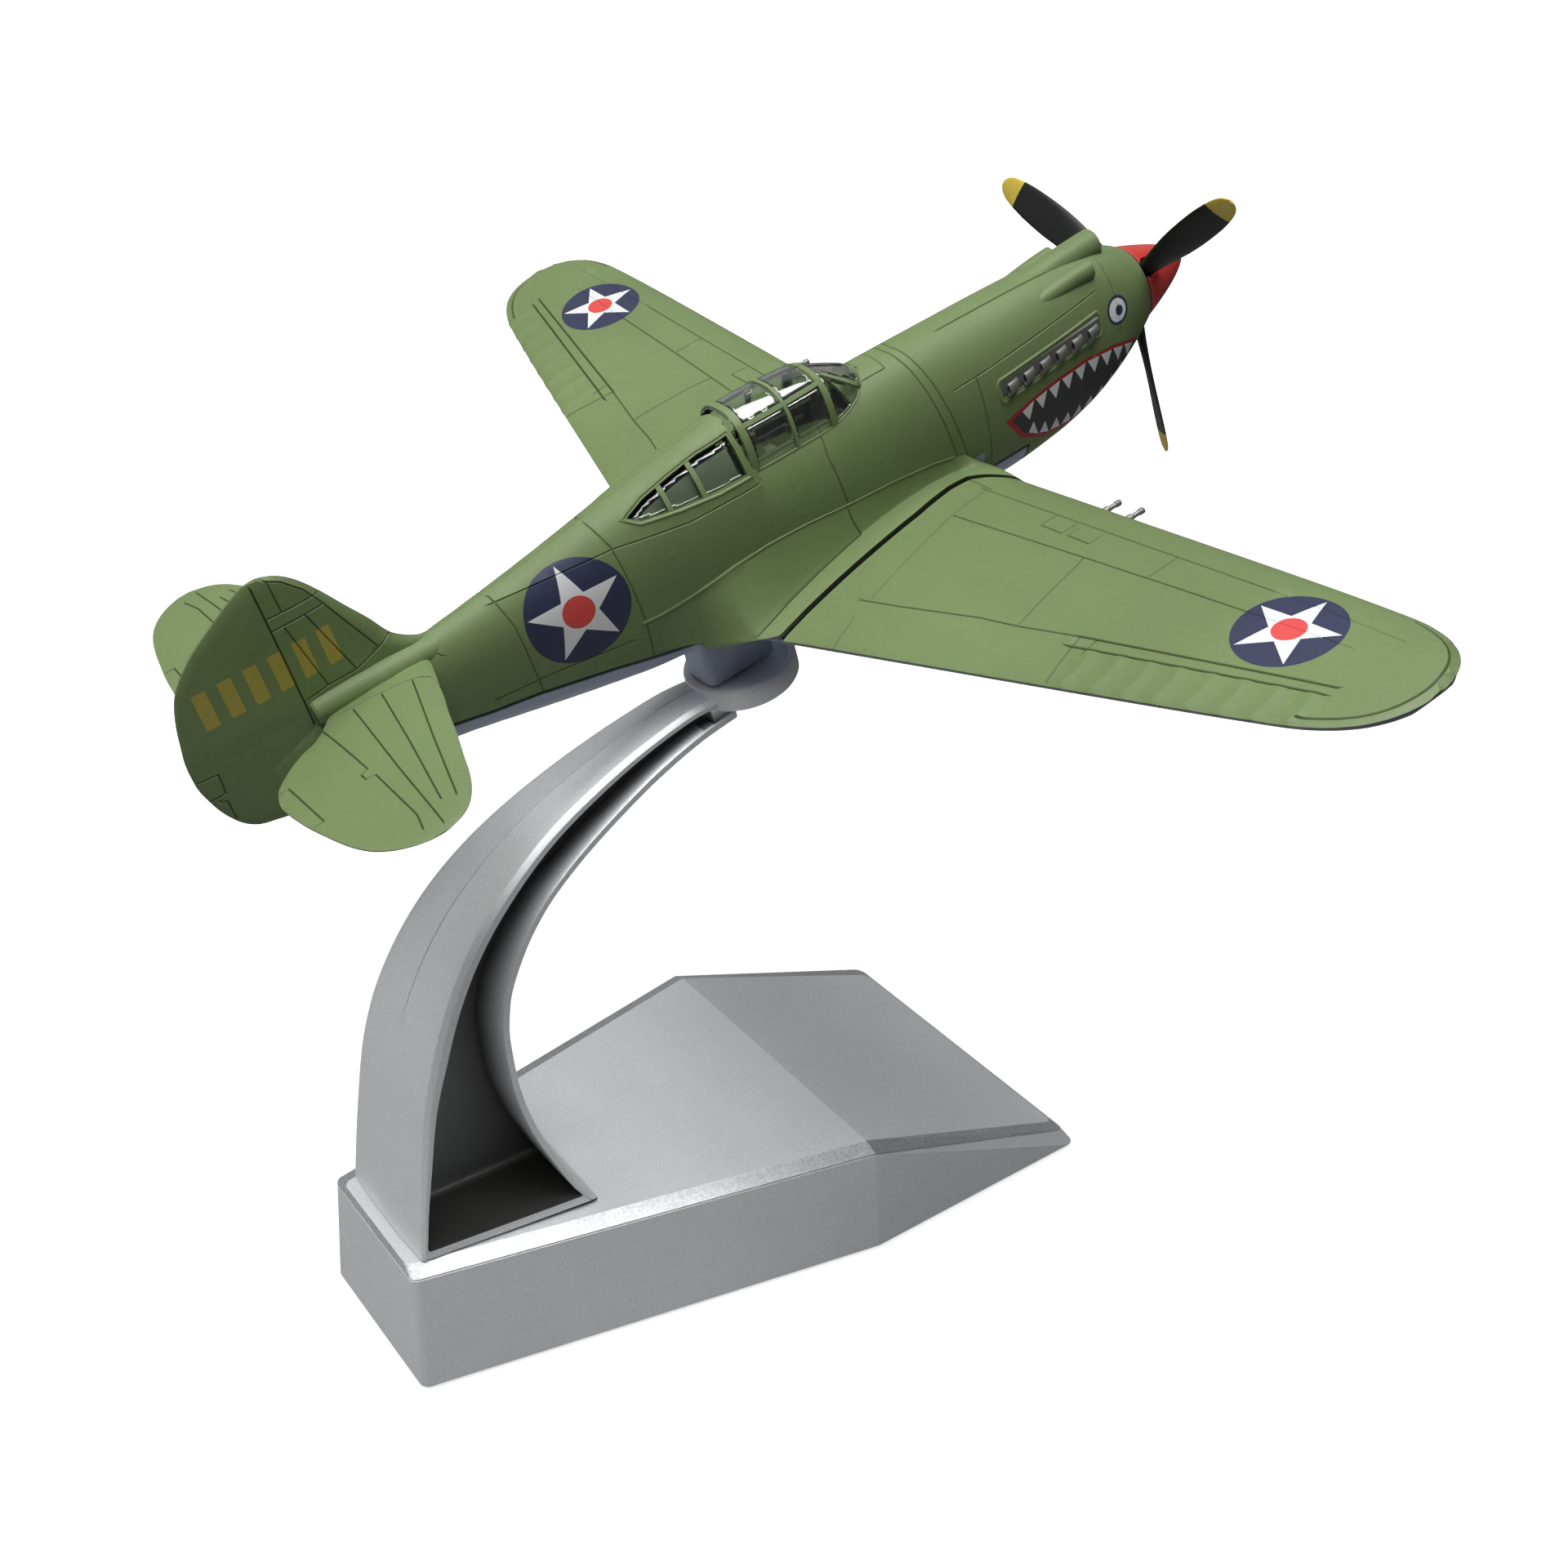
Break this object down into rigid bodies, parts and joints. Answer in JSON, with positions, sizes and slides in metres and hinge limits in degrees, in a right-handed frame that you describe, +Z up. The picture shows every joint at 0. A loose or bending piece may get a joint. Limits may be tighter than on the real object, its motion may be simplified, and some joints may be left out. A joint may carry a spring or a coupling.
{
  "type": "propeller plane model",
  "caption": "Desk model of a single-seat propeller fighter, nose up on a curved cast arm and wedge base, with a spinning propeller.",
  "frame": {"origin": "centre of the base's flat underside, on the plane the stand rests on", "axes": "+Z up, -Y towards the nose of the aircraft and the thin edge of the base, X along the wingspan"},
  "size_m": [0.158, 0.1344, 0.1262],
  "materials": {
    "green_paint": "matt",
    "grey_paint": "matt",
    "clear_plastic": "clear gloss",
    "cockpit_black": "matt",
    "gun_metal": "satin",
    "spinner_red": "satin",
    "blade_black": "satin, with yellow tips",
    "steel": "zinc plated",
    "brass": "turned",
    "silver_paint": "fine metallic satin",
    "pad_black": "matt"
  },
  "bodies": {
    "stand": {"base_casting": "silver_paint", "base_pad": "pad_black", "stand_arm": "silver_paint", "arm_screw_1": "steel", "arm_screw_2": "steel", "cradle_peg": "steel"},
    "aircraft": {"fuselage_upper": "green_paint", "chin_panel": "grey_paint", "rear_belly_shell": "grey_paint", "wing_underside": "grey_paint", "wing_upper_left": "green_paint", "wing_upper_right": "green_paint", "tailplane_left": "green_paint", "tailplane_right": "green_paint", "canopy": "clear_plastic", "quarter_window_left": "clear_plastic", "quarter_window_right": "clear_plastic", "cockpit_tub": "cockpit_black", "pilot_seat": "cockpit_black", "instrument_panel": "cockpit_black", "control_stick": "cockpit_black", "gunsight": "cockpit_black", "exhaust_left": "gun_metal", "exhaust_right": "gun_metal", "wing_gun_left_inner": "gun_metal", "wing_gun_left_outer": "gun_metal", "wing_gun_right_inner": "gun_metal", "wing_gun_right_outer": "gun_metal", "belly_screw_1": "steel", "belly_screw_2": "steel", "shaft_bush": "brass"},
    "propeller": {"spinner": "spinner_red", "spinner_back_plate": "spinner_red", "propeller_blades": "blade_black", "propeller_shaft": "steel", "shaft_collar": "steel"}
  },
  "joints": [
    {"name": "model_lift", "type": "slide", "parent": "stand", "child": "aircraft", "axis": [0, 0.2656, 0.9641], "range_m": [0, 0.03]},
    {"name": "propeller_spin", "type": "hinge", "parent": "aircraft", "child": "propeller", "pos_m": [0, -0.0672, 0.1122], "axis": [0, -0.9641, 0.2656], "continuous": true}
  ]
}
